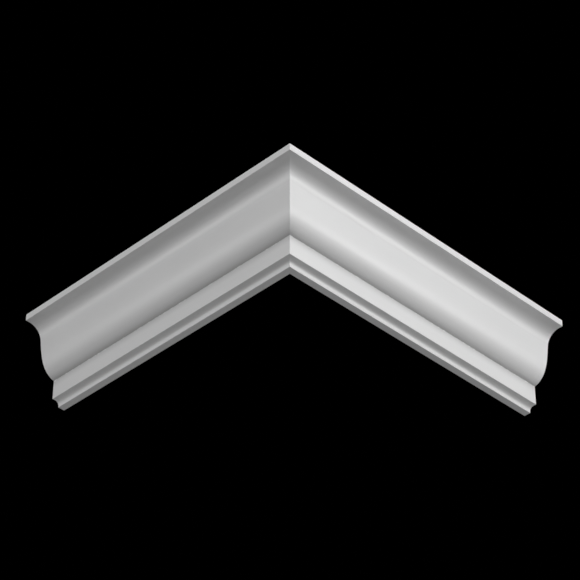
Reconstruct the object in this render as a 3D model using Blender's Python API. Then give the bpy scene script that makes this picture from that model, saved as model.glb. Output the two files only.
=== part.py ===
"""Plain cornice moulding: two lengths of one section, mitred round the outside corner of a wall.

Metres, +Z up, standing on its underside the way it hangs under a ceiling. The wall fills the quarter
between the two lengths: the right one runs along +X and the left one along +Y. The origin is at the
middle of the foot of the bounding box. In the section, "out" is the distance from the wall's face and
"up" is the height above the underside.
"""

import math

import bmesh
import bpy
from mathutils import Matrix, Vector
from mathutils.geometry import interpolate_bezier

# Overall sizes
HEIGHT = 0.110
PROJECTION = 0.070
RIGHT_WALL_LENGTH = 0.409  # along the wall, from its corner to the square end
LEFT_WALL_LENGTH = 0.392

# Top fillet, its narrow soffit and the hollow under it
TOP_FILLET_HEIGHT = 0.0091
TOP_SOFFIT_WIDTH = 0.0055
COVE_RADIUS = 0.0198

# The hollow turns into the swell where the face leans back least
TURN_LEAN = math.radians(7.3)

# The swell runs from that turn down to the head of the fascia. Its pulls are the lengths of the
# curve's handles as shares of the straight line between its ends.
SWELL_FOOT_LEAN = math.radians(76.5)
SWELL_HEAD_PULL = 0.30
SWELL_FOOT_PULL = 0.406

# Fascia, and the small soffit, hollow and fillet that finish the foot
FASCIA_HEIGHT = 0.0265
LOWER_SOFFIT_WIDTH = 0.0042
LOWER_COVE_RADIUS = 0.0057
LOWER_FILLET_HEIGHT = 0.0022
LOWER_FILLET_OUT = 0.0096

# Flat seats on the wall and the ceiling, joined behind by one plain bevel
WALL_SEAT_HEIGHT = 0.040
CEILING_SEAT_WIDTH = 0.032

# The two cut faces of the mitre stand this far apart
MITRE_GAP = 0.0003

# Straight steps that each curve is worked out in
COVE_STEPS = 24
SWELL_STEPS = 32
LOWER_COVE_STEPS = 12

# Extra length left for the saw behind the mitre, and how far the saw's path passes every face
SAW_ALLOWANCE = 0.005

WELD_DISTANCE = 0.00001
SHARP_ANGLE = math.radians(25)

UP = Vector((0, 0, 1))
WALL_CORNER = Vector(
    (
        (PROJECTION - RIGHT_WALL_LENGTH) / 2,
        (PROJECTION - LEFT_WALL_LENGTH) / 2,
        0,
    )
)


def clear_scene():
    """Removes every object of the open scene."""
    for thing in list(bpy.data.objects):
        bpy.data.objects.remove(thing, do_unlink=True)


def new_collection(name):
    """A new collection in the scene."""
    collection = bpy.data.collections.new(name)
    bpy.context.scene.collection.children.link(collection)
    return collection


def plaster():
    """Cast gypsum plaster, white and matte."""
    material = bpy.data.materials.new("white_plaster")
    material.use_nodes = True
    shader = material.node_tree.nodes["Principled BSDF"]
    shader.inputs["Base Color"].default_value = (0.82, 0.82, 0.81, 1)
    shader.inputs["Roughness"].default_value = 0.85
    shader.inputs["Metallic"].default_value = 0
    return material


def hollow_points(centre, radius, last_lean, steps):
    """A concave quarter turn from the lean given (0 is upright) to level, as (out, up) points."""
    points = []
    for step in range(steps + 1):
        lean = last_lean + (math.pi / 2 - last_lean) * step / steps
        points.append(centre + radius * Vector((-math.cos(lean), math.sin(lean))))
    return points


def swell_points(foot, head):
    """The convex curve from the head of the fascia up to the turn, as (out, up) points."""
    chord = (head - foot).length
    foot_pull = chord * SWELL_FOOT_PULL * Vector((math.sin(SWELL_FOOT_LEAN), math.cos(SWELL_FOOT_LEAN)))
    head_pull = chord * SWELL_HEAD_PULL * Vector((math.sin(TURN_LEAN), math.cos(TURN_LEAN)))
    return interpolate_bezier(foot, foot + foot_pull, head - head_pull, head, SWELL_STEPS + 1)


def section_outline():
    """The whole section as (out, up) points, from the foot of the wall seat round the front."""
    lower_centre = Vector((LOWER_FILLET_OUT + LOWER_COVE_RADIUS, LOWER_FILLET_HEIGHT))
    fascia_out = lower_centre.x + LOWER_SOFFIT_WIDTH
    fascia_foot = Vector((fascia_out, lower_centre.y + LOWER_COVE_RADIUS))
    fascia_head = fascia_foot + Vector((0, FASCIA_HEIGHT))

    soffit_up = HEIGHT - TOP_FILLET_HEIGHT
    cove_centre = Vector((PROJECTION - TOP_SOFFIT_WIDTH, soffit_up - COVE_RADIUS))
    cove = hollow_points(cove_centre, COVE_RADIUS, TURN_LEAN, COVE_STEPS)

    outline = [Vector((0, 0)), Vector((LOWER_FILLET_OUT, 0))]
    outline += hollow_points(lower_centre, LOWER_COVE_RADIUS, 0, LOWER_COVE_STEPS)
    outline.append(fascia_foot)
    outline += swell_points(fascia_head, cove[0])
    outline += cove[1:]
    outline.append(Vector((PROJECTION, soffit_up)))
    outline.append(Vector((PROJECTION, HEIGHT)))
    outline.append(Vector((PROJECTION - CEILING_SEAT_WIDTH, HEIGHT)))
    outline.append(Vector((0, WALL_SEAT_HEIGHT)))
    return outline


def placement(out, place):
    """The matrix that stands a flat section up: its X points out of the wall and its Y points up."""
    axes = Matrix((out, UP, out.cross(UP))).transposed().to_4x4()
    return Matrix.Translation(place) @ axes


def moulding_blank(name, out, run, wall_length, collection):
    """A straight run of the section, square at both ends and long enough for the mitre."""
    first = -PROJECTION - SAW_ALLOWANCE
    curve = bpy.data.curves.new(name, "CURVE")
    curve.dimensions = "2D"
    curve.fill_mode = "BOTH"
    curve.extrude = (wall_length - first) / 2
    outline = section_outline()
    spline = curve.splines.new("POLY")
    spline.points.add(len(outline) - 1)
    for point, place in zip(spline.points, outline):
        point.co = (place.x, place.y, 0, 1)
    spline.use_cyclic_u = True

    drawn = bpy.data.objects.new(name + "_section", curve)
    collection.objects.link(drawn)
    drawn.matrix_world = placement(out, WALL_CORNER + run * (first + wall_length) / 2)
    depsgraph = bpy.context.evaluated_depsgraph_get()
    mesh = bpy.data.meshes.new_from_object(drawn.evaluated_get(depsgraph))
    mesh.name = name
    weld(mesh)
    mesh.shade_smooth()
    mesh.set_sharp_from_angle(angle=SHARP_ANGLE)

    blank = bpy.data.objects.new(name, mesh)
    collection.objects.link(blank)
    blank.matrix_world = drawn.matrix_world
    bpy.data.objects.remove(drawn, do_unlink=True)
    bpy.data.curves.remove(curve)
    return blank


def weld(mesh):
    """Joins the caps of an extruded outline to its sides and turns every face outwards."""
    shape = bmesh.new()
    shape.from_mesh(mesh)
    bmesh.ops.remove_doubles(shape, verts=shape.verts, dist=WELD_DISTANCE)
    bmesh.ops.recalc_face_normals(shape, faces=shape.faces)
    shape.to_mesh(mesh)
    shape.free()


def saw_path(name, out, run, collection):
    """The block that the mitre saw takes off behind the corner of one length."""
    kept_side = (run + out).normalized()
    along_cut = (out - run).normalized()
    cut_length = PROJECTION * math.sqrt(2)
    depth = PROJECTION + 2 * SAW_ALLOWANCE
    size = Vector((depth, cut_length + 2 * depth, HEIGHT + 2 * SAW_ALLOWANCE))
    mesh = bpy.data.meshes.new(name)
    shape = bmesh.new()
    bmesh.ops.create_cube(shape, size=1, matrix=Matrix.Diagonal(size).to_4x4())
    shape.to_mesh(mesh)
    shape.free()

    cutter = bpy.data.objects.new(name, mesh)
    collection.objects.link(cutter)
    centre = WALL_CORNER + along_cut * cut_length / 2 + UP * HEIGHT / 2
    centre += kept_side * (MITRE_GAP - depth) / 2
    axes = Matrix((kept_side, kept_side.cross(UP) * -1, UP)).transposed().to_4x4()
    cutter.matrix_world = Matrix.Translation(centre) @ axes
    cutter.hide_render = True
    cutter.display_type = "WIRE"
    return cutter


def moulding_length(name, out, run, wall_length, material, parts, cutters):
    """One length of cornice: square at its outer end, mitred at the wall's corner."""
    moulding = moulding_blank(name, out, run, wall_length, parts)
    moulding.data.materials.clear()
    moulding.data.materials.append(material)
    cut = moulding.modifiers.new("mitre", "BOOLEAN")
    cut.operation = "DIFFERENCE"
    cut.solver = "EXACT"
    cut.object = saw_path(name + "_saw_path", out, run, cutters)
    return moulding


def build():
    """Both lengths, carried by an empty at the foot of the wall's corner."""
    clear_scene()
    parts = new_collection("cornice_outside_corner")
    cutters = new_collection("cutters")
    material = plaster()

    corner = bpy.data.objects.new("wall_corner", None)
    corner.location = WALL_CORNER
    parts.objects.link(corner)

    along_x = Vector((1, 0, 0))
    along_y = Vector((0, 1, 0))
    lengths = (
        ("cornice_length_right", -along_y, along_x, RIGHT_WALL_LENGTH),
        ("cornice_length_left", -along_x, along_y, LEFT_WALL_LENGTH),
    )
    for name, out, run, wall_length in lengths:
        moulding = moulding_length(name, out, run, wall_length, material, parts, cutters)
        place = moulding.matrix_world.copy()
        moulding.parent = corner
        moulding.matrix_parent_inverse = Matrix.Translation(-WALL_CORNER)
        moulding.matrix_world = place


build()
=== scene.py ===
"""Looks of a plain cornice corner: two lengths of plaster moulding, mitred round an outside corner.

Each length is modelled again from its CAD node's box, with finer curves, softened arrises and shallow
dips in its struck back, and is dressed in three plaster finishes: the moulded face, the struck back and
the sawn ends. Everything is in metres, in the CAD's frame: the right length runs along +X, the left one
along +Y, and the wall fills the quarter between them.
"""

import logging
import math
from dataclasses import dataclass
from enum import Enum
from typing import Any, Callable, Iterable

import bpy
from mathutils import Matrix, Vector
from mathutils.geometry import interpolate_bezier


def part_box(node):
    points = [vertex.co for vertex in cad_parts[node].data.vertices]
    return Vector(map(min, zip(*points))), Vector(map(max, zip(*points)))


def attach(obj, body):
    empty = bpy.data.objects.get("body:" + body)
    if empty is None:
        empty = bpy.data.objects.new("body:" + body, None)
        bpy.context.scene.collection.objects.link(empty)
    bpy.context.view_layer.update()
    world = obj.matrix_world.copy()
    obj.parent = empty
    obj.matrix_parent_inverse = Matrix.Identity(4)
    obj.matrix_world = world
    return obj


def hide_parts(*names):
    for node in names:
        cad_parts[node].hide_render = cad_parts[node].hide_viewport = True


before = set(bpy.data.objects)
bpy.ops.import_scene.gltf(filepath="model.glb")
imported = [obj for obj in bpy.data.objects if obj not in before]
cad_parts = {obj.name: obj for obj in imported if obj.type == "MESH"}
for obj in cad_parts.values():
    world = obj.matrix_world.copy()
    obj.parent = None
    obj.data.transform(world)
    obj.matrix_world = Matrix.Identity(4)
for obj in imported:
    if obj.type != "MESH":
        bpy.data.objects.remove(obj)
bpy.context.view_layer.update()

MM = 0.001
UP = Vector((0, 0, 1))
ARRIS = "arris"
# Point attribute that masks the painted shade in the inner corner under the swell.
PAINTED_SHADE_MASK = "inner_corner"

Colour = tuple[float, float, float, float]
BLACK: Colour = (0.0, 0.0, 0.0, 1.0)
WHITE: Colour = (1.0, 1.0, 1.0, 1.0)
CHALK: Colour = (0.84, 0.84, 0.84, 1.0)
# Colour of the painted shade in the inner corner under the swell.
PAINTED_SHADE: Colour = (0.3, 0.3, 0.3, 1.0)
RUBBED_WIDTH = 5 * MM
# How far the painted shade reaches from that corner.
PAINTED_SHADE_REACH = 12 * MM
WELD = 0.01 * MM
ORDER_FROM = (0.7313, -0.4179, 0.5737)

# Places of a mix node's colour sockets, whose names it repeats for its other kinds of value.
MIX_FIRST = 6
MIX_SECOND = 7
MIX_RESULT = 2

log = logging.getLogger("cornice")


class Run(Enum):
    """Which way a length runs from the wall's corner, and the CAD node that it stands for."""

    RIGHT = "cornice_length_right"
    LEFT = "cornice_length_left"

    @property
    def along(self) -> Vector:
        """The direction from the wall's corner to the square end."""
        return Vector((1, 0, 0)) if self is Run.RIGHT else Vector((0, 1, 0))

    @property
    def out(self) -> Vector:
        """The direction out of the wall that the moulded face looks in."""
        return Vector((0, -1, 0)) if self is Run.RIGHT else Vector((-1, 0, 0))


@dataclass(frozen=True)
class Site:
    """Where the moulding stands, read from the CAD nodes' boxes.

    Attributes:
        corner: The foot of the wall's corner.
        height: From the underside to the ceiling.
        projection: From the wall's face to the front of the top fillet.
        ends: The far end of each length, measured along the wall from its corner.
    """

    corner: Vector
    height: float
    projection: float
    ends: dict[Run, float]

    @classmethod
    def from_frame(cls) -> "Site":
        """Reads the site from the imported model."""
        right_low, right_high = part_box(Run.RIGHT.value)
        left_low, left_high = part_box(Run.LEFT.value)
        corner = Vector((left_high.x, right_high.y, right_low.z))
        ends = {Run.RIGHT: right_high.x - corner.x, Run.LEFT: left_high.y - corner.y}
        return cls(corner, right_high.z - right_low.z, left_high.x - left_low.x, ends)


@dataclass(frozen=True)
class Section:
    """The moulding's section. "Out" is from the wall's face and "up" is from the underside.

    Attributes:
        height: From the underside to the ceiling.
        projection: From the wall's face to the front of the top fillet.
        top_fillet: Height of the flat band under the ceiling.
        top_soffit: Width of the level strip under that band.
        cove: Radius of the hollow.
        turn_lean: How far the face leans back where the hollow ends.
        swell_head_lean: The same just below, where the swell begins. The step between the two is the
            faint crease that shows along the face.
        swell_lean: The same where the swell meets the fascia.
        swell_pulls: The curve's handles at foot and head, as shares of its chord.
        fascia: Height of the plain upright band.
        lower_soffit: Width of the level strip under the fascia.
        lower_cove: Radius of the small hollow.
        lower_fillet: Height of the thin band at the foot.
        lower_fillet_out: How far that band stands out from the wall.
        wall_seat: Height of the flat that is glued to the wall.
        ceiling_seat: Width of the flat that is glued to the ceiling.
    """

    height: float
    projection: float
    top_fillet: float = 9.1 * MM
    top_soffit: float = 5.5 * MM
    cove: float = 19.8 * MM
    turn_lean: float = math.radians(4.6)
    swell_head_lean: float = math.radians(8.8)
    swell_lean: float = math.radians(76.5)
    swell_pulls: tuple[float, float] = (0.406, 0.30)
    fascia: float = 26.5 * MM
    lower_soffit: float = 4.2 * MM
    lower_cove: float = 5.7 * MM
    lower_fillet: float = 2.2 * MM
    lower_fillet_out: float = 9.6 * MM
    wall_seat: float = 40 * MM
    ceiling_seat: float = 32 * MM

    @property
    def soffit_up(self) -> float:
        """Height of the level strip under the top fillet."""
        return self.height - self.top_fillet

    @property
    def cove_centre(self) -> Vector:
        """Centre of the hollow, as (out, up)."""
        return Vector((self.projection - self.top_soffit, self.soffit_up - self.cove))

    @property
    def turn(self) -> Vector:
        """Where the hollow turns into the swell, as (out, up)."""
        lean = self.turn_lean
        return self.cove_centre + self.cove * Vector((-math.cos(lean), math.sin(lean)))

    @property
    def lower_cove_centre(self) -> Vector:
        """Centre of the small hollow, as (out, up)."""
        return Vector((self.lower_fillet_out + self.lower_cove, self.lower_fillet))

    @property
    def fascia_foot(self) -> Vector:
        """Lower edge of the fascia, as (out, up)."""
        centre = self.lower_cove_centre
        return Vector((centre.x + self.lower_soffit, centre.y + self.lower_cove))

    @property
    def fascia_head(self) -> Vector:
        """Upper edge of the fascia, where the swell begins, as (out, up)."""
        return self.fascia_foot + Vector((0, self.fascia))

    def swell(self, steps: int) -> list[Vector]:
        """The convex curve above the fascia.

        Args:
            steps: Straight steps that the curve is worked out in.

        Returns:
            The curve's points as (out, up), from the fascia's head to the turn.
        """
        foot, head = self.fascia_head, self.turn
        chord = (head - foot).length
        foot_pull, head_pull = (chord * pull for pull in self.swell_pulls)
        foot_way = Vector((math.sin(self.swell_lean), math.cos(self.swell_lean)))
        head_way = Vector((math.sin(self.swell_head_lean), math.cos(self.swell_head_lean)))
        handles = foot + foot_pull * foot_way, head - head_pull * head_way
        return interpolate_bezier(foot, *handles, head, steps + 1)


@dataclass
class SectionPen:
    """Carries a selected row of edges round the section in edit mode, leaving faces behind it.

    Attributes:
        site: Where the moulding stands.
        run: The length that is being drawn.
        place: Where the row is now, as (out, up).
        bay: The widest face that a straight stretch is made in.
    """

    site: Site
    run: Run
    place: Vector
    bay: float = 4 * MM

    def in_space(self, place: Vector) -> Vector:
        """A point of the section, beside the wall's corner."""
        return self.site.corner + self.run.out * place.x + UP * place.y

    def step_to(self, place: Vector) -> None:
        """Extrudes the row to one more point of the section."""
        move = self.in_space(place) - self.in_space(self.place)
        bpy.ops.mesh.extrude_region_move(TRANSFORM_OT_translate={"value": move})
        self.place = place

    def line_to(self, place: Vector) -> None:
        """Extrudes the row along a flat, in bays of one width."""
        start = self.place
        steps = max(1, round((place - start).length / self.bay))
        for step in range(1, steps + 1):
            self.step_to(start.lerp(place, step / steps))

    def follow(self, places: Iterable[Vector]) -> None:
        """Extrudes the row through the points of a curve."""
        for place in places:
            self.step_to(place)

    def hollow(self, centre: Vector, end: Vector, steps: int) -> None:
        """Spins the row round the centre of a hollow.

        Args:
            centre: The hollow's centre, as (out, up).
            end: Where the hollow ends.
            steps: Straight steps that the hollow is worked out in.
        """
        turned = (self.place - centre).angle_signed(end - centre)
        axis = self.run.out.cross(UP)
        bpy.ops.mesh.spin(steps=steps, angle=turned, center=self.in_space(centre), axis=axis)
        self.place = end


def tool_on(*things: bpy.types.Object) -> None:
    """Leaves edit mode and selects only these objects, the first of them active."""
    if bpy.context.object and bpy.context.object.mode != "OBJECT":
        bpy.ops.object.mode_set(mode="OBJECT")
    bpy.ops.object.select_all(action="DESELECT")
    for thing in things:
        thing.select_set(True)
    bpy.context.view_layer.objects.active = things[0]


class Field:
    """A value that changes over a surface: a node's output that Python's operators work on."""

    def __init__(self, nodes: "SurfaceNodes", socket: bpy.types.NodeSocket) -> None:
        """Wraps one output of a node."""
        self.nodes = nodes
        self.socket = socket

    def output(self, name: str) -> "Field":
        """Another output of the same node."""
        return Field(self.nodes, self.socket.node.outputs[name])

    def __add__(self, other: "Field | float") -> "Field":
        """The sum."""
        return self.nodes.maths("ADD", self, other)

    def __sub__(self, other: "Field | float") -> "Field":
        """The difference."""
        return self.nodes.maths("SUBTRACT", self, other)

    def __rsub__(self, other: float) -> "Field":
        """The difference from a plain number."""
        return self.nodes.maths("SUBTRACT", other, self)

    def __mul__(self, other: "Field | float") -> "Field":
        """The product."""
        return self.nodes.maths("MULTIPLY", self, other)

    __radd__ = __add__
    __rmul__ = __mul__


class SurfaceNodes:
    """The nodes of one material, with the patterns that the finishes share.

    Attributes:
        SOFT: Detail of broad noise.
        PLAIN: Detail of the noise behind grain and long marks.
    """

    SOFT = 3.0
    PLAIN = 2.0

    def __init__(self, name: str) -> None:
        """Starts a material that has no nodes yet."""
        self.material = bpy.data.materials.new(name)
        self.material.use_nodes = True
        self.tree = self.material.node_tree
        self.tree.nodes.clear()

    def add(
        self,
        kind: str,
        settings: dict[str, Any] | None = None,
        inputs: dict[str | int, Any] | None = None,
        output: str | int = 0,
    ) -> Field:
        """Adds any node.

        Args:
            kind: The node's type.
            settings: Its own properties, which are set first.
            inputs: Values or fields for its sockets, by name or place.
            output: The output that is handed back.

        Returns:
            That output.
        """
        node = self.tree.nodes.new(kind)
        for name, value in (settings or {}).items():
            setattr(node, name, value)
        for key, value in (inputs or {}).items():
            if isinstance(value, Field):
                self.tree.links.new(value.socket, node.inputs[key])
            else:
                node.inputs[key].default_value = value
        return Field(self, node.outputs[output])

    def maths(self, operation: str, first: Field | float, second: Field | float) -> Field:
        """One step of arithmetic."""
        return self.add("ShaderNodeMath", {"operation": operation}, {0: first, 1: second})

    def vectors(self, operation: str, inputs: dict[str | int, Any], output: str = "Vector") -> Field:
        """One step of arithmetic on vectors."""
        return self.add("ShaderNodeVectorMath", {"operation": operation}, inputs, output)

    def rise(self, value: Field, low: float, high: float) -> Field:
        """A smooth step from 0 to 1 as a value goes from low to high."""
        limits = {"Value": value, "From Min": low, "From Max": high}
        return self.add("ShaderNodeMapRange", {"interpolation_type": "SMOOTHSTEP"}, limits)

    def tint(self, first: Colour | Field, second: Colour, share: Field) -> Field:
        """The first colour, turning into the second where the share is 1."""
        settings = {"data_type": "RGBA", "clamp_factor": True}
        inputs = {"Factor": share, MIX_FIRST: first, MIX_SECOND: second}
        return self.add("ShaderNodeMix", settings, inputs, MIX_RESULT)

    def blotches(self, place: Field, width: float, detail: float = SOFT) -> Field:
        """Soft noise from 0 to 1, in blotches about that wide."""
        inputs = {"Vector": place, "Scale": 1 / width, "Detail": detail}
        return self.add("ShaderNodeTexNoise", inputs=inputs)

    def strokes(self, place: Field, along: Vector, width: float, length: float) -> Field:
        """Noise from 0 to 1, drawn out into long marks.

        Args:
            place: Where on the piece.
            along: The direction that the tool moved in.
            width: Width of a mark.
            length: Length of a mark.

        Returns:
            The marks.
        """
        reach = self.vectors("DOT_PRODUCT", {0: place, 1: along}, "Value")
        across = self.vectors("SCALE", {0: place, "Scale": 1 / width})
        squeeze = self.vectors("SCALE", {0: along, "Scale": reach * (1 / length - 1 / width)})
        return self.blotches(self.vectors("ADD", {0: across, 1: squeeze}), 1.0, self.PLAIN)

    def pits(self, place: Field, spacing: float, radius: float, share: float) -> Field:
        """Scattered round pits: 1 in a pit and 0 between them.

        Args:
            place: Where on the piece.
            spacing: Distance between the places where a pit may be.
            radius: Radius of a pit.
            share: Share of those places that have one.

        Returns:
            The pits.
        """
        cells = self.add("ShaderNodeTexVoronoi", inputs={"Vector": place, "Scale": 1 / spacing})
        chance = self.add("ShaderNodeSeparateColor", inputs={"Color": cells.output("Color")})
        return (1 - self.rise(cells, 0.0, radius / spacing)) * self.rise(chance, 1 - share, 1.0)

    def surface(self, sockets: dict[str, Any], height: Field) -> bpy.types.Material:
        """Joins the patterns to the surface.

        Args:
            sockets: Values or fields for the shader's sockets, by name.
            height: Fine relief, in metres.

        Returns:
            The finished material.
        """
        relief = self.add("ShaderNodeBump", inputs={"Strength": 1.0, "Distance": 1.0, "Height": height})
        shader = self.add("ShaderNodeBsdfPrincipled", inputs={**sockets, "Normal": relief})
        output = self.tree.nodes.new("ShaderNodeOutputMaterial")
        self.tree.links.new(shader.socket, output.inputs["Surface"])
        return self.material


@dataclass(frozen=True)
class Marks:
    """Long marks that a tool leaves.

    Attributes:
        width: Width of one mark.
        length: Its length.
        depth: Its depth.
    """

    width: float
    length: float
    depth: float


@dataclass(frozen=True)
class Pits:
    """Small pits where air bubbles burst against the mould or were cut open.

    Attributes:
        spacing: Distance between the places where a pit may be.
        radius: Radius of a pit.
        depth: Its depth.
        share: Share of those places that have one.
    """

    spacing: float
    radius: float
    depth: float
    share: float


@dataclass(frozen=True)
class Plaster:
    """Cast plaster with what one way of working it leaves on it.

    Attributes:
        name: The finish's name.
        dull: Its colour where it is darkest.
        pale: Its colour where it is lightest.
        roughness: How matt it is.
        unevenness: How much that changes from place to place.
        clouding: Width of the broad blotches.
        grain: Width of the fine grain.
        grain_depth: Depth of the fine grain.
        marks: What the tool left.
        pits: What the air left.
        wear_depth: Depth of the rubbed spots along the arrises.
        painted_shade: How much the painted shade in the inner corner under the swell darkens it. It is a
            painted
        soft shadow, standing in for the shade that falls there.
        marks_share: How much the marks change the colour.
        middle: What is taken off clouds and marks so that the two colours are met about evenly.
        pits_share: How much the pits darken the colour.
        painted_shade_least: The least share of the painted shade in any place.
        painted_shade_range: How much that changes from place to place.
        chalk_share: How much chalk shows on a rubbed arris.
        rubbed_matt: How much more matt a rubbed arris is.
        rubbed_from: The noise above which an arris is a little rubbed.
        rubbed_to: The noise above which it is rubbed throughout.
    """

    name: str
    dull: Colour
    pale: Colour
    roughness: float
    unevenness: float
    clouding: float
    grain: float
    grain_depth: float
    marks: Marks
    pits: Pits
    wear_depth: float = 0.0
    painted_shade: float = 0.0
    marks_share: float = 0.6
    middle: float = 0.3
    pits_share: float = 0.5
    painted_shade_least: float = 0.85
    painted_shade_range: float = 0.3
    chalk_share: float = 0.5
    rubbed_matt: float = 0.1
    rubbed_from: float = 0.5
    rubbed_to: float = 0.6

    def material(self, run: Run, stroke: Vector) -> bpy.types.Material:
        """Makes the finish for one length.

        Args:
            run: The length that it is for.
            stroke: The direction that the tool moved in.

        Returns:
            The material.
        """
        nodes = SurfaceNodes(f"{self.name}_{run.name.lower()}")
        place = nodes.add("ShaderNodeTexCoord", output="Object")
        clouds = nodes.blotches(place, self.clouding)
        grain = nodes.blotches(place, self.grain, nodes.PLAIN)
        marks = nodes.strokes(place, stroke, self.marks.width, self.marks.length)
        pits = nodes.pits(place, self.pits.spacing, self.pits.radius, self.pits.share)
        on_arris = nodes.add("ShaderNodeAttribute", {"attribute_name": ARRIS}, output="Fac")
        in_spots = nodes.blotches(place, RUBBED_WIDTH) * on_arris
        rubbed = nodes.rise(in_spots, self.rubbed_from, self.rubbed_to)
        # Mask of the painted shade in the inner corner under the swell.
        corner_shade = nodes.add("ShaderNodeAttribute", {"attribute_name": PAINTED_SHADE_MASK}, output="Fac")

        paleness = clouds + marks * self.marks_share - self.middle - pits * self.pits_share
        bare = nodes.tint(self.dull, self.pale, paleness)
        shade_spread = clouds * self.painted_shade_range + self.painted_shade_least
        # Painted shade: the inner corner under the swell is darkened where a soft shadow falls.
        shaded = nodes.tint(bare, PAINTED_SHADE, corner_shade * corner_shade * shade_spread * self.painted_shade)
        uneven = (clouds + marks - 1) * self.unevenness
        sockets = {
            "Base Color": nodes.tint(shaded, CHALK, rubbed * self.chalk_share),
            "Roughness": uneven + rubbed * self.rubbed_matt + self.roughness,
        }
        height = marks * self.marks.depth + grain * self.grain_depth
        return nodes.surface(sockets, height - pits * self.pits.depth - rubbed * self.wear_depth)


MOULDED_FACE = Plaster(
    name="moulded_face",
    dull=(0.725, 0.725, 0.725, 1.0),
    pale=(0.755, 0.755, 0.755, 1.0),
    roughness=0.34,
    unevenness=0.06,
    clouding=55 * MM,
    grain=0.9 * MM,
    grain_depth=0.004 * MM,
    marks=Marks(width=2.4 * MM, length=150 * MM, depth=0.008 * MM),
    pits=Pits(spacing=13 * MM, radius=0.3 * MM, depth=0.08 * MM, share=0.16),
    wear_depth=0.03 * MM,
    # Strength of the painted shade in the inner corner under the swell.
    painted_shade=0.48,
)
STRUCK_BACK = Plaster(
    name="struck_back",
    dull=(0.66, 0.66, 0.655, 1.0),
    pale=(0.79, 0.79, 0.785, 1.0),
    roughness=0.8,
    unevenness=0.12,
    clouding=30 * MM,
    grain=1.3 * MM,
    grain_depth=0.05 * MM,
    marks=Marks(width=3.2 * MM, length=110 * MM, depth=0.12 * MM),
    pits=Pits(spacing=7 * MM, radius=0.8 * MM, depth=0.4 * MM, share=0.35),
)
SAWN_END = Plaster(
    name="sawn_end",
    dull=(0.74, 0.74, 0.735, 1.0),
    pale=(0.85, 0.85, 0.845, 1.0),
    roughness=0.86,
    unevenness=0.08,
    clouding=18 * MM,
    grain=0.6 * MM,
    grain_depth=0.03 * MM,
    marks=Marks(width=0.9 * MM, length=45 * MM, depth=0.05 * MM),
    pits=Pits(spacing=4.5 * MM, radius=0.45 * MM, depth=0.3 * MM, share=0.3),
)


@dataclass(frozen=True)
class Dips:
    """Shallow hollows that the straight-edge leaves in a struck back.

    Attributes:
        width: Width of one hollow.
        length: Its length.
        depth: Depth of the deepest.
        margin: Strip along each edge that has none.
    """

    width: float = 14 * MM
    length: float = 70 * MM
    depth: float = 0.5 * MM
    margin: float = 2 * MM

    def sink(self, piece: bpy.types.Object, places: list[int], along: Vector) -> None:
        """Sinks the hollows into a piece.

        Args:
            piece: The piece.
            places: The vertices that may move.
            along: The direction that the hollows are drawn out in.
        """
        group = piece.vertex_groups.new(name="back")
        group.add(places, 1.0, "REPLACE")
        stretch = bpy.data.objects.new("stretch", None)
        stretch.scale = Vector((1, 1, 1)) + along * (self.length / self.width - 1)
        bpy.context.scene.collection.objects.link(stretch)
        texture = bpy.data.textures.new("hollows", "CLOUDS")
        texture.noise_scale = self.width
        hollows = piece.modifiers.new("hollows", "DISPLACE")
        hollows.texture = texture
        hollows.texture_coords = "OBJECT"
        hollows.texture_coords_object = stretch
        hollows.vertex_group = group.name
        hollows.strength = self.depth
        hollows.mid_level = 1.0
        tool_on(piece)
        bpy.ops.object.modifier_apply(modifier=hollows.name)
        piece.vertex_groups.clear()
        bpy.data.objects.remove(stretch)
        bpy.data.textures.remove(texture)


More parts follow.
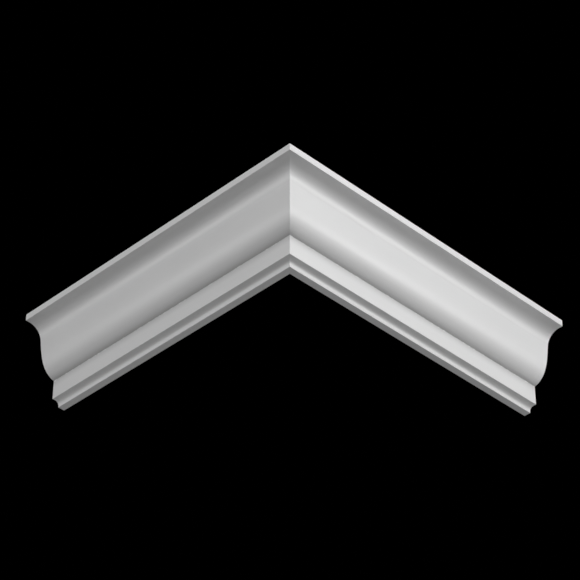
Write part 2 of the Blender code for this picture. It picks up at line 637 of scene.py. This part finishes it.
@dataclass
class CorniceLength:
    """One straight length: square at its outer end and mitred at the wall's corner.

    Attributes:
        run: Which way it runs.
        site: Where it stands.
        section: Its section.
        bay: Length of one face along the run.
        saw_allowance: Extra length behind the mitre, taken off by the cut.
        arris: Width of the softened arrises.
        arris_steps: Faces across a softened arris.
        rim: Width of the chamfer round the sawn end.
        cove_steps: Straight steps in the hollow.
        swell_steps: Straight steps in the swell.
        lower_cove_steps: Straight steps in the small hollow.
        dips: The hollows in the back.
        sharp: Edges that turn more than this are arrises.
        smooth: Edges that turn less than this are shaded smooth.
        stroke_tilt: How far the saw's strokes lean from upright.
        squarely: A face looks squarely in a direction above this cosine.
        mostly: A face mostly looks in a direction above this cosine.
    """

    run: Run
    site: Site
    section: Section
    bay: float = 4 * MM
    saw_allowance: float = 5 * MM
    arris: float = 0.45 * MM
    arris_steps: int = 3
    rim: float = 0.2 * MM
    cove_steps: int = 32
    swell_steps: int = 40
    lower_cove_steps: int = 12
    dips: Dips = Dips()
    sharp: float = math.radians(25)
    smooth: float = math.radians(38)
    stroke_tilt: float = math.radians(14)
    squarely: float = 0.9
    mostly: float = 0.5

    @property
    def kept_side(self) -> Vector:
        """The direction from the mitre's cut into the length."""
        return (self.run.along + self.run.out).normalized()

    def build(self) -> bpy.types.Object:
        """Models the length where it stands.

        Returns:
            The length, with its place in its mesh.
        """
        piece = self.wall_seat()
        self.carry_round()
        self.strike_back(piece)
        self.cap_end()
        self.soften_arrises(piece)
        self.ease_rim(piece)
        self.saw_mitre()
        self.settle_order()
        bpy.ops.object.mode_set(mode="OBJECT")
        self.smooth_faces(piece)
        self.mark_inner_corner(piece)
        self.dress(piece)
        return piece

    def in_section(self, place: Vector) -> Vector:
        """A place on the length as (out, up)."""
        aside = place - self.site.corner
        return Vector((aside.dot(self.run.out), aside.z))

    def wall_seat(self) -> bpy.types.Object:
        """Adds the flat that the wall carries, in bays, and leaves its foot selected in edit mode."""
        first = -self.site.projection - self.saw_allowance
        last = self.site.ends[self.run]
        seat = self.section.wall_seat
        axes = Matrix((self.run.along, UP, self.run.along.cross(UP))).transposed()
        bpy.ops.object.select_all(action="DESELECT")
        bpy.ops.mesh.primitive_grid_add(
            x_subdivisions=round((last - first) / self.bay),
            y_subdivisions=round(seat / self.bay),
            size=1,
            location=self.site.corner + self.run.along * (first + last) / 2 + UP * seat / 2,
            rotation=axes.to_euler(),
        )
        piece = bpy.context.object
        piece.name = self.run.value + "_cast"
        piece.data.name = piece.name
        piece.scale = (last - first, seat, 1)
        bpy.ops.object.transform_apply(location=True, rotation=True, scale=True)
        bpy.ops.object.mode_set(mode="EDIT")
        self.pick_edges(piece, lambda middle: middle.z < self.site.corner.z + self.arris)
        return piece

    def pick_edges(self, piece: bpy.types.Object, wanted: Callable[[Vector], bool]) -> None:
        """Selects only the edges whose middle passes a test, in edit mode."""
        bpy.ops.mesh.select_all(action="DESELECT")
        bpy.ops.mesh.select_mode(type="EDGE")
        bpy.ops.object.mode_set(mode="OBJECT")
        mesh = piece.data
        for edge in mesh.edges:
            first, second = (mesh.vertices[index].co for index in edge.vertices)
            edge.select = wanted((first + second) / 2)
        bpy.ops.object.mode_set(mode="EDIT")

    def carry_round(self) -> None:
        """Carries the seat's foot round the whole section and welds it to the seat's head."""
        section = self.section
        pen = SectionPen(self.site, self.run, Vector((0, 0)), self.bay)
        pen.line_to(Vector((section.lower_fillet_out, 0)))
        pen.line_to(Vector((section.lower_fillet_out, section.lower_fillet)))
        centre = section.lower_cove_centre
        pen.hollow(centre, centre + Vector((0, section.lower_cove)), self.lower_cove_steps)
        pen.line_to(section.fascia_foot)
        pen.line_to(section.fascia_head)
        pen.follow(section.swell(self.swell_steps)[1:])
        centre = section.cove_centre
        pen.hollow(centre, centre + Vector((0, section.cove)), self.cove_steps)
        pen.line_to(Vector((section.projection, section.soffit_up)))
        pen.line_to(Vector((section.projection, section.height)))
        pen.line_to(Vector((section.projection - section.ceiling_seat, section.height)))
        pen.line_to(Vector((0, section.wall_seat)))
        bpy.ops.mesh.select_all(action="SELECT")
        bpy.ops.mesh.remove_doubles(threshold=WELD)
        bpy.ops.mesh.normals_make_consistent(inside=False)

    def strike_back(self, piece: bpy.types.Object) -> None:
        """Sinks shallow hollows into the two seats and the bevel between them."""
        section, margin = self.section, self.dips.margin
        seat_head = Vector((0, section.wall_seat))
        bevel_head = Vector((section.projection - section.ceiling_seat, section.height))
        front = Vector((section.projection, section.height))
        flats = (Vector((0, 0)), seat_head), (seat_head, bevel_head), (bevel_head, front)
        bpy.ops.object.mode_set(mode="OBJECT")
        places = []
        for vertex in piece.data.vertices:
            place = self.in_section(vertex.co)
            for first, last in flats:
                way = (last - first).normalized()
                reach = (place - first).dot(way)
                on_flat = (place - first - way * reach).length < self.arris / 10
                if on_flat and margin <= reach <= (last - first).length - margin:
                    places.append(vertex.index)
        self.dips.sink(piece, places, self.run.along)
        bpy.ops.object.mode_set(mode="EDIT")

    def cap_end(self) -> None:
        """Fills both open ends and turns every face outwards."""
        bpy.ops.mesh.select_all(action="DESELECT")
        bpy.ops.mesh.select_mode(type="EDGE")
        bpy.ops.mesh.select_non_manifold()
        bpy.ops.mesh.edge_face_add()
        bpy.ops.mesh.select_all(action="SELECT")
        bpy.ops.mesh.normals_make_consistent(inside=False)

    def soften_arrises(self, piece: bpy.types.Object) -> None:
        """Bevels the arrises that run along the length, and marks them for the finish."""
        bpy.ops.mesh.select_all(action="DESELECT")
        bpy.ops.mesh.edges_select_sharp(sharpness=self.sharp)
        bpy.ops.object.mode_set(mode="OBJECT")
        mesh = piece.data
        for edge in mesh.edges:
            first, second = (mesh.vertices[index].co for index in edge.vertices)
            runs_along = abs((second - first).normalized().dot(self.run.along)) > math.cos(self.sharp)
            edge.select = edge.select and runs_along
        bpy.ops.object.mode_set(mode="EDIT")
        bpy.ops.mesh.bevel(offset=self.arris, segments=self.arris_steps, affect="EDGES")
        bpy.ops.object.mode_set(mode="OBJECT")
        marked = mesh.attributes.new(ARRIS, "FLOAT", "POINT")
        marked.data.foreach_set("value", [float(vertex.select) for vertex in mesh.vertices])
        bpy.ops.object.mode_set(mode="EDIT")

    def ease_rim(self, piece: bpy.types.Object) -> None:
        """Takes the sharpness off the rim of the sawn end."""
        end = self.site.ends[self.run] - self.rim / 10
        self.pick_edges(piece, lambda middle: (middle - self.site.corner).dot(self.run.along) > end)
        bpy.ops.mesh.bevel(offset=self.rim, segments=1, affect="EDGES")

    def saw_mitre(self) -> None:
        """Cuts the inner end along the corner's diagonal and fills the cut."""
        bpy.ops.mesh.select_all(action="SELECT")
        bpy.ops.mesh.bisect(
            plane_co=self.site.corner,
            plane_no=self.kept_side,
            use_fill=True,
            clear_inner=True,
        )

    def settle_order(self) -> None:
        """Puts vertices, edges and faces in one order, which the bevels leave to chance.

        They are sorted by their distance from a point that lies off every line and plane of the moulding.
        """
        bpy.context.scene.cursor.location = self.site.corner + Vector(ORDER_FROM)
        bpy.ops.mesh.select_mode(type="VERT")
        bpy.ops.mesh.select_all(action="SELECT")
        bpy.ops.mesh.sort_elements(type="CURSOR_DISTANCE", elements={"VERT", "EDGE", "FACE"})

    def smooth_faces(self, piece: bpy.types.Object) -> None:
        """Shades curves smooth and keeps flats flat."""
        tool_on(piece)
        bpy.ops.object.shade_smooth_by_angle(angle=self.smooth)
        weighted = piece.modifiers.new("flat_faces", "WEIGHTED_NORMAL")
        weighted.keep_sharp = True
        bpy.ops.object.modifier_apply(modifier=weighted.name)

    def mark_inner_corner(self, piece: bpy.types.Object) -> None:
        """Masks the painted shade: how near each vertex is to the inner corner where swell meets fascia.
        """
        corner = self.section.fascia_head
        near = []
        for vertex in piece.data.vertices:
            distance = (self.in_section(vertex.co) - corner).length
            near.append(max(0.0, 1 - distance / PAINTED_SHADE_REACH))
        marked = piece.data.attributes.new(PAINTED_SHADE_MASK, "FLOAT", "POINT")
        marked.data.foreach_set("value", near)

    def dress(self, piece: bpy.types.Object) -> None:
        """Finishes the length and sets it on the CAD's body, in place of its node."""
        run = self.run
        saw_stroke = UP * math.cos(self.stroke_tilt) + run.out * math.sin(self.stroke_tilt)
        mesh = piece.data
        mesh.materials.clear()
        mesh.materials.append(MOULDED_FACE.material(run, run.along))
        mesh.materials.append(STRUCK_BACK.material(run, run.along))
        mesh.materials.append(SAWN_END.material(run, saw_stroke))
        moulded, struck, sawn = range(3)
        for face in mesh.polygons:
            way = face.normal
            if way.dot(run.along) > self.squarely or way.dot(self.kept_side) < -self.squarely:
                face.material_index = sawn
            elif way.dot(UP) > self.mostly or way.dot(run.out) < -self.mostly:
                face.material_index = struck
            else:
                face.material_index = moulded
        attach(piece, "root")
        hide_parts(run.value)


@dataclass(frozen=True)
class Softbox:
    """A large soft lamp that looks at the moulding.

    Attributes:
        name: The lamp's name.
        azimuth: Its bearing in degrees: 0 is straight in front of the right length's face, and 90
            in front of the left one's.
        elevation: Degrees above the horizon.
        width: Its width.
        height: Its height.
        power: Watts.
        distance: From the moulding.
    """

    name: str
    azimuth: float
    elevation: float
    width: float
    height: float
    power: float
    distance: float = 3.0

    def hang(self, target: Vector) -> bpy.types.Object:
        """Hangs the lamp and turns it to the target."""
        azimuth, elevation = math.radians(self.azimuth), math.radians(self.elevation)
        level = math.cos(elevation)
        way = Vector((-math.sin(azimuth) * level, -math.cos(azimuth) * level, math.sin(elevation)))
        lamp = bpy.data.lights.new(self.name, "AREA")
        lamp.shape = "RECTANGLE"
        lamp.size = self.width
        lamp.size_y = self.height
        lamp.energy = self.power
        hung = bpy.data.objects.new(self.name, lamp)
        hung.location = target + way * self.distance
        hung.rotation_euler = way.to_track_quat("Z", "Y").to_euler()
        hung.visible_camera = False
        bpy.context.scene.collection.objects.link(hung)
        return hung


# The first twelve light what the photograph shows. The others light the back and the sawn ends.
SOFTBOXES = (
    Softbox("right_low", -35, -20, 0.6, 1.0, 5.9),
    Softbox("right_level", -35, 0, 0.6, 0.9, 17.2),
    Softbox("right_raised", -35, 15, 0.6, 0.8, 4.4),
    Softbox("right_high", -35, 30, 0.6, 0.8, 4.7),
    Softbox("right_top", -55, 45, 0.6, 0.6, 3.9),
    Softbox("left_low", 125, -20, 0.6, 1.0, 4.5),
    Softbox("left_level", 125, 0, 0.6, 1.0, 8.3),
    Softbox("front", 45, 0, 0.9, 0.9, 14.1),
    Softbox("front_right", 5, 15, 0.9, 0.9, 39.5),
    Softbox("front_right_high", 5, 50, 0.6, 0.6, 7.5),
    Softbox("front_left", 85, 15, 0.9, 0.9, 25.3),
    Softbox("front_left_high", 85, 50, 0.6, 0.6, 5.3),
    Softbox("behind", 225, 50, 1.6, 1.6, 30.0),
    Softbox("right_end", -100, 12, 0.8, 0.8, 8.0),
    Softbox("left_end", 190, 12, 0.8, 0.8, 8.0),
)


@dataclass(frozen=True)
class Studio:
    """Floor, lamps and camera. The camera looks up from below, so the floor lies well under it.

    Attributes:
        floor_drop: How far the floor lies under the moulding.
        floor_size: Length of the floor's side.
        floor_tone: The floor's colour.
        floor_matt: The floor's roughness.
        floor_grain: Width of the floor's grain.
        floor_relief: Depth of that grain.
        floor_glow: How much the floor glows under the moulding.
        floor_reach: Where that glow has faded out.
        camera_lens: The lens in millimetres.
        camera_sensor: The sensor's width in millimetres.
        camera_pitch: How far the camera looks up.
        camera_distance: From the camera to its aim.
        camera_aim_drop: How far the aim is under the foot of the wall's corner.
        camera_aside: How far the aim is to the right of it.
        softboxes: The lamps.
    """

    floor_drop: float = 3.2
    floor_size: float = 80.0
    floor_tone: Colour = (0.75, 0.75, 0.75, 1.0)
    floor_matt: float = 0.9
    floor_grain: float = 20 * MM
    floor_relief: float = 0.2 * MM
    floor_glow: float = 0.02
    floor_reach: float = 20.0
    camera_lens: float = 144.73
    camera_sensor: float = 36.0
    camera_pitch: float = math.radians(36.888)
    camera_distance: float = 2.6282
    camera_aim_drop: float = 22.75 * MM
    camera_aside: float = 0.26 * MM
    softboxes: tuple[Softbox, ...] = SOFTBOXES

    def build(self, site: Site) -> None:
        """Sets up the whole studio round the moulding."""
        self.darken_surroundings()
        self.lay_floor(site.corner)
        for softbox in self.softboxes:
            softbox.hang(site.corner + UP * site.height / 2)
        self.set_camera(site.corner)

    def darken_surroundings(self) -> None:
        """Makes the room behind the moulding black, as in the photograph, and keeps tones plain."""
        scene = bpy.context.scene
        scene.world = bpy.data.worlds.new("dark_room")
        scene.world.use_nodes = True
        scene.world.node_tree.nodes["Background"].inputs["Strength"].default_value = 0.0
        scene.view_settings.view_transform = "Standard"

    def lay_floor(self, corner: Vector) -> None:
        """Lays the pale floor. It glows faintly, which is the soft light from below."""
        bpy.ops.object.select_all(action="DESELECT")
        bpy.ops.mesh.primitive_plane_add(size=self.floor_size, location=corner - UP * self.floor_drop)
        floor = bpy.context.object
        floor.name = "studio_floor"
        nodes = SurfaceNodes("studio_floor")
        place = nodes.add("ShaderNodeTexCoord", output="Object")
        reach = nodes.vectors("LENGTH", {0: place}, "Value")
        glow = 1 - nodes.rise(reach, self.floor_drop, self.floor_reach)
        sockets = {
            "Base Color": self.floor_tone,
            "Roughness": self.floor_matt,
            "Emission Color": nodes.tint(BLACK, WHITE, glow),
            "Emission Strength": self.floor_glow,
        }
        grain = nodes.blotches(place, self.floor_grain) * self.floor_relief
        floor.data.materials.append(nodes.surface(sockets, grain))

    def set_camera(self, corner: Vector) -> None:
        """Sets the camera where the photograph was taken from, below the corner's diagonal."""
        level = math.cos(self.camera_pitch) * math.sqrt(0.5)
        look = Vector((level, level, math.sin(self.camera_pitch)))
        aside = Vector((1, -1, 0)).normalized() * self.camera_aside
        aim = corner - UP * self.camera_aim_drop + aside
        view = bpy.data.cameras.new("photograph")
        view.sensor_width = self.camera_sensor
        view.lens = self.camera_lens
        camera = bpy.data.objects.new("photograph", view)
        camera.location = aim - look * self.camera_distance
        camera.rotation_euler = look.to_track_quat("-Z", "Y").to_euler()
        bpy.context.scene.collection.objects.link(camera)
        bpy.context.scene.camera = camera


def main() -> None:
    """Builds both lengths and the studio."""
    logging.basicConfig(level=logging.INFO, format="%(name)s: %(message)s")
    site = Site.from_frame()
    section = Section(site.height, site.projection)
    for run in Run:
        piece = CorniceLength(run, site, section).build()
        log.info("%s: %d faces", piece.name, len(piece.data.polygons))
    Studio().build(site)


if __name__ == "__main__":
    main()
